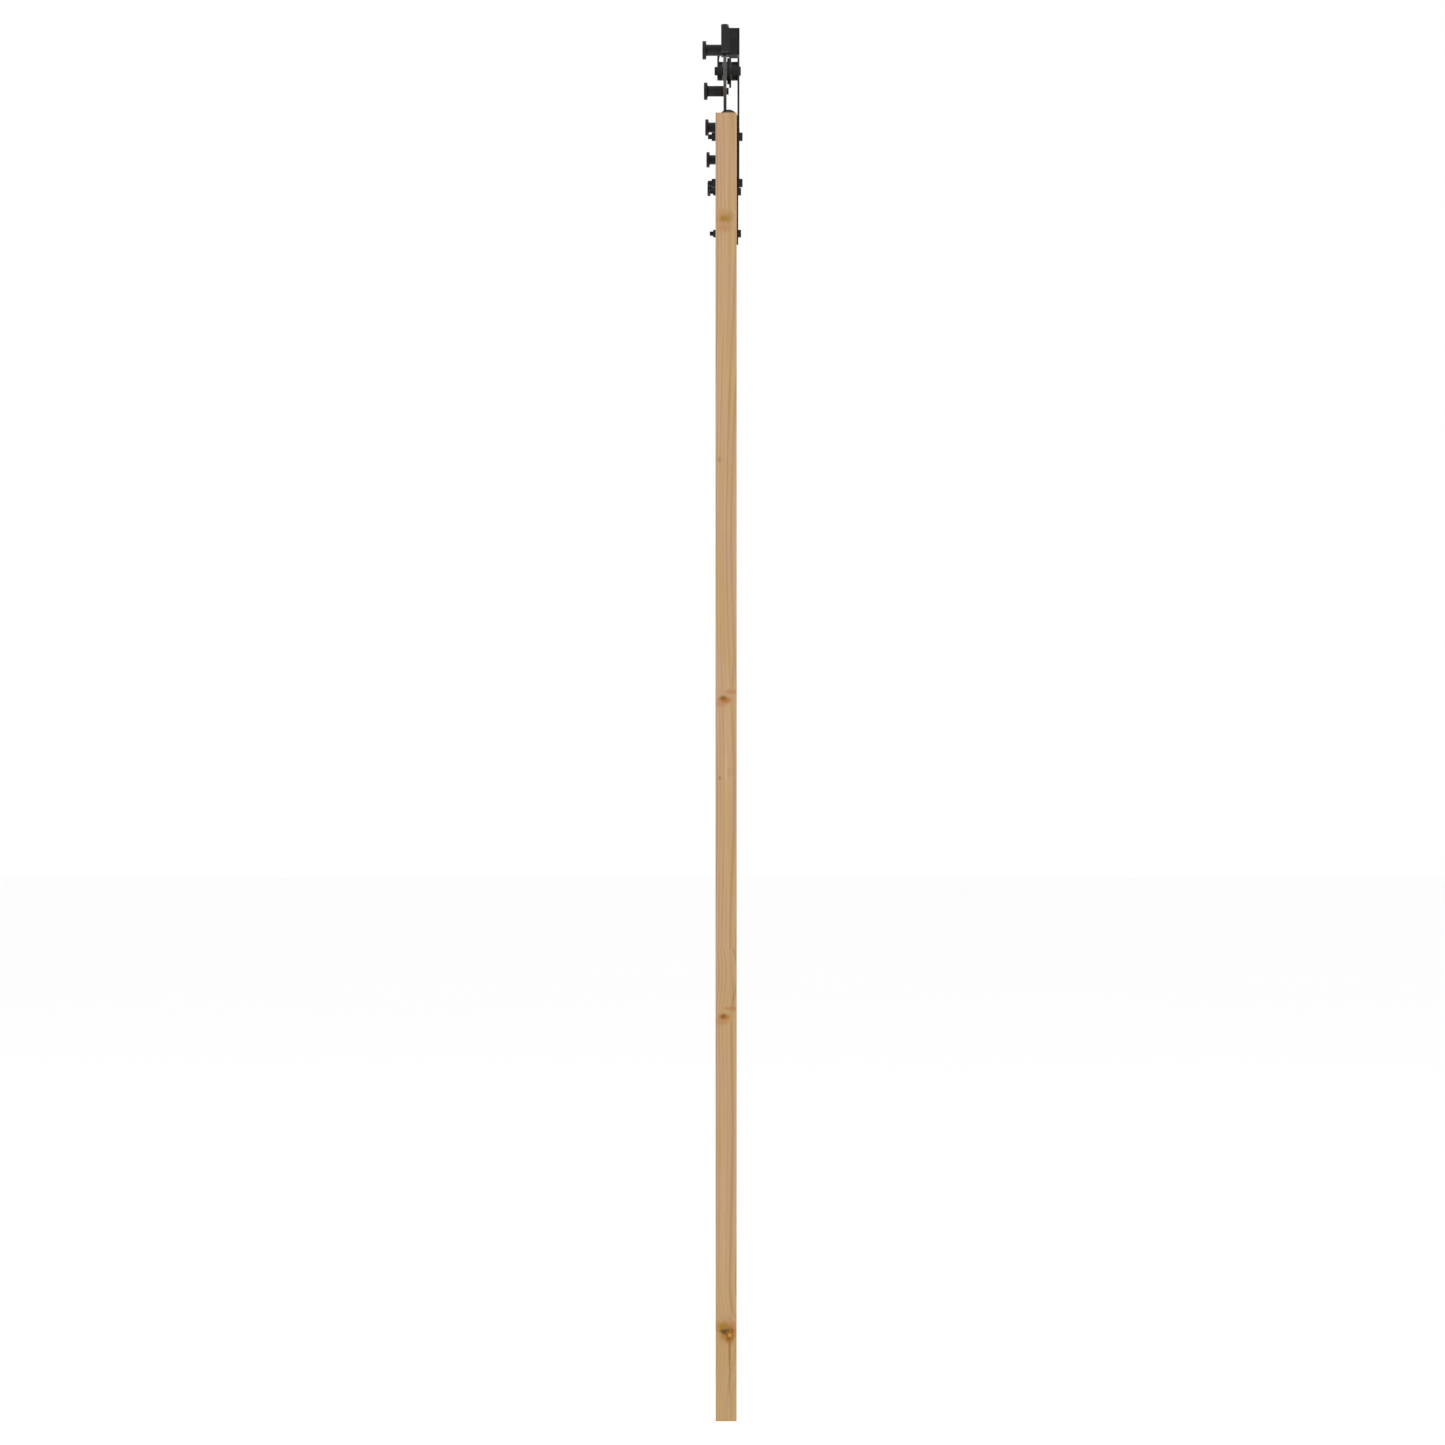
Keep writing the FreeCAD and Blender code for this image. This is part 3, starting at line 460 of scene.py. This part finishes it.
def powder_coat(
    name, colour, grain=1500.0, relief=0.00005, roughness=0.50, wear_and_highlight_strength=0.55, gloss=0.20, threaded=False
):
    """Black powder coat: a fine orange peel, painted a little paler along its edges, which is partly rubbed
    wear and partly a painted highlight on the edges.
    """
    material, graph, shader, where = new_material(name)
    mask, rounded = edges_mask(graph, 0.0006)
    scuff = graph.noise(where, 320.0, 4.0, 0.65)
    smudge = graph.noise(where, 38.0, 3.0, 0.55)
    # paler edges: partly rubbed wear, partly a painted highlight along the edges
    wear_and_highlight = graph.math("MULTIPLY", mask, graph.remap(scuff, 0.42, 0.66))
    shade = graph.mix(graph.remap(smudge, 0.35, 0.70), colour, scaled(colour, 1.45))
    graph.put(shader.inputs["Base Color"], graph.mix(graph.math("MULTIPLY", wear_and_highlight, wear_and_highlight_strength), shade, EDGE_WEAR_AND_HIGHLIGHT))
    rough = graph.math("MULTIPLY_ADD", graph.centred(smudge), 0.22, roughness)
    graph.put(shader.inputs["Roughness"], graph.math("MULTIPLY_ADD", wear_and_highlight, -0.14, rough))
    shader.inputs["Specular IOR Level"].default_value = gloss
    peel = graph.bump(graph.noise(where, grain, 2.0, 0.5), relief, 0.8, rounded)
    if threaded:
        peel = graph.bump(threads(graph, where), THREAD_BUMP, 1.0, peel)
    graph.put(shader.inputs["Normal"], peel)
    return material


def turned_steel(name, colour):
    """Blackened steel turned on a lathe: fine circular tool marks about an axis square to the wall, and
    edges painted paler, partly as wear and partly as a painted highlight.
    """
    material, graph, shader, where = new_material(name)
    mask, rounded = edges_mask(graph, 0.0004)
    y = graph.split(where)[1]
    tool_marks = graph.noise(graph.join(0.0, y, 0.0), 2600.0, 2.0)
    mottle = graph.noise(where, 85.0, 4.0, 0.6)
    shade = graph.mix(graph.remap(mottle, 0.35, 0.68), colour, scaled(colour, 1.7))
    # paler edges: partly rubbed wear, partly a painted highlight along the edges
    wear_and_highlight = graph.math("MULTIPLY", mask, graph.remap(mottle, 0.40, 0.60))
    graph.put(shader.inputs["Base Color"], graph.mix(graph.math("MULTIPLY", wear_and_highlight, 0.6), shade, EDGE_WEAR_AND_HIGHLIGHT))
    graph.put(shader.inputs["Roughness"], graph.math("MULTIPLY_ADD", mottle, 0.20, 0.34))
    shader.inputs["Specular IOR Level"].default_value = TURNED_GLOSS
    graph.put(shader.inputs["Normal"], graph.bump(tool_marks, 0.00003, 0.7, rounded))
    return material


def moulded(name, colour, roughness, grain):
    """Matt moulded rubber or nylon with a faint bloom."""
    material, graph, shader, where = new_material(name)
    bloom = graph.noise(where, 60.0, 4.0, 0.6)
    shade = graph.mix(graph.remap(bloom, 0.40, 0.75), colour, scaled(colour, 1.6))
    graph.put(shader.inputs["Base Color"], shade)
    graph.put(shader.inputs["Roughness"], graph.math("MULTIPLY_ADD", bloom, 0.12, roughness))
    shader.inputs["Specular IOR Level"].default_value = RUBBER_GLOSS
    graph.put(shader.inputs["Normal"], graph.bump(graph.noise(where, grain, 2.0), 0.00006, 0.6))
    return material


def ground_steel(name, colour):
    """Bright ground bearing steel."""
    material, graph, shader, where = new_material(name)
    film = graph.noise(where, 140.0, 3.0)
    shade = graph.mix(graph.remap(film, 0.3, 0.7), colour, scaled(colour, 0.8))
    graph.put(shader.inputs["Base Color"], shade)
    shader.inputs["Metallic"].default_value = 1.0
    graph.put(shader.inputs["Roughness"], graph.math("MULTIPLY_ADD", film, 0.2, 0.16))
    return material


# ---- giving each piece its material ----


def give(node, material):
    piece = NODES[node]
    piece.data.materials.clear()
    piece.data.materials.append(material)


def dress_door():
    """Each timber piece has its own pine, with its own seed, so that no two share a grain."""
    for number, side in enumerate(("near", "far")):
        node = f"stile_{side}"
        marks = EDGE_MARKS if side == "near" else ()
        seed = 1.3 + 2.7 * number
        give(node, pine(node, "Z", seed, middle_of(node, 0), STILE_KNOTS, stile=True, marks=marks))
    for number, node in enumerate(("top_rail", "middle_rail", "bottom_rail")):
        give(node, pine(node, "X", 6.1 + 1.9 * number, middle_of(node, 2), RAIL_KNOTS))
    for panel in ("upper", "lower"):
        for number in range(1, BOARDS_PER_PANEL + 1):
            node = f"{panel}_board_{number}"
            seed = 11.0 + 2.3 * number + (13.7 if panel == "lower" else 0.0)
            give(node, pine(node, "Z", seed, middle_of(node, 0), BOARD_KNOTS))


def dress_hardware():
    """Each material slot has its finish, and the end stops' covers a smoother, darker one of their own."""
    finishes = {
        "black_steel": powder_coat("black_powder_coat", COAT_COLOUR),
        "turned_black_steel": turned_steel("turned_black_steel", TURNED_COLOUR),
        "black_fasteners": powder_coat(
            "blackened_fasteners", FASTENER_COLOUR, grain=2600.0, relief=0.00002, roughness=0.38,
            wear_and_highlight_strength=0.8, gloss=0.24, threaded=True,
        ),
        "rubber": moulded("bumper_rubber", RUBBER_COLOUR, roughness=0.78, grain=900.0),
        "black_nylon": moulded("anti_jump_nylon", NYLON_COLOUR, roughness=0.52, grain=400.0),
        "bearing_steel": ground_steel("bearing_steel", BEARING_COLOUR),
    }
    for part in frame["record"]["subparts"]:
        if part["material_slot"] in finishes:
            give(part["node"], finishes[part["material_slot"]])
    cover = powder_coat(
        "gloss_black_cover", COVER_COLOUR, grain=1100.0, relief=0.00003, roughness=0.36, wear_and_highlight_strength=0.3, gloss=0.13
    )
    for side in ("near", "far"):
        give(f"end_stop_cover_{side}", cover)


# ---- studio ----


def studio_floor():
    """A pale floor well below the leaf, so that the leaf casts no shadow in the camera's view."""
    bpy.ops.mesh.primitive_plane_add(size=FLOOR_SIZE, location=(0, 0, cad_box[0].z - FLOOR_GAP))
    floor = bpy.context.object
    floor.name = "floor"
    material, graph, shader, where = new_material("studio_floor")
    shade = graph.mix(graph.noise(where, 0.4, 1.0), FLOOR_COLOUR, scaled(FLOOR_COLOUR, 0.99))
    graph.put(shader.inputs["Base Color"], shade)
    shader.inputs["Roughness"].default_value = 0.9
    shader.inputs["Specular IOR Level"].default_value = 0.1
    floor.data.materials.append(material)


def studio_light():
    """A white surrounding and soft round lamps, shown with the plain Standard view."""
    world = bpy.data.worlds.new("studio")
    world.use_nodes = True
    background = world.node_tree.nodes["Background"]
    background.inputs["Color"].default_value = WORLD_COLOUR
    background.inputs["Strength"].default_value = WORLD_STRENGTH
    bpy.context.scene.world = world
    bpy.context.scene.view_settings.view_transform = "Standard"
    for name, place, width, power in LIGHTS:
        lamp = bpy.data.lights.new(name, "AREA")
        lamp.shape = "DISK"
        lamp.size = width
        lamp.energy = power
        holder = bpy.data.objects.new(name, lamp)
        holder.location = place
        aim = Vector(LIGHT_TARGET) - Vector(place)
        holder.rotation_mode = "QUATERNION"
        holder.rotation_quaternion = aim.to_track_quat("-Z", "Y")
        bpy.context.scene.collection.objects.link(holder)


def camera():
    """Looks straight along the rail from beyond the near stile, a little above its middle."""
    low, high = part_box("stile_near")
    data = bpy.data.cameras.new("camera")
    data.lens = CAMERA_LENS
    data.sensor_width = CAMERA_SENSOR
    data.shift_x = CAMERA_SHIFT
    data.clip_end = CAMERA_CLIP
    holder = bpy.data.objects.new("camera", data)
    holder.location = (
        low.x - CAMERA_DISTANCE, (low.y + high.y) / 2 - CAMERA_ROOMWARD, high.z - CAMERA_BELOW_TOP
    )
    holder.rotation_euler = (math.pi / 2, 0, -math.pi / 2)
    bpy.context.scene.collection.objects.link(holder)
    bpy.context.scene.camera = holder


dress_door()
dress_hardware()
studio_floor()
studio_light()
camera()
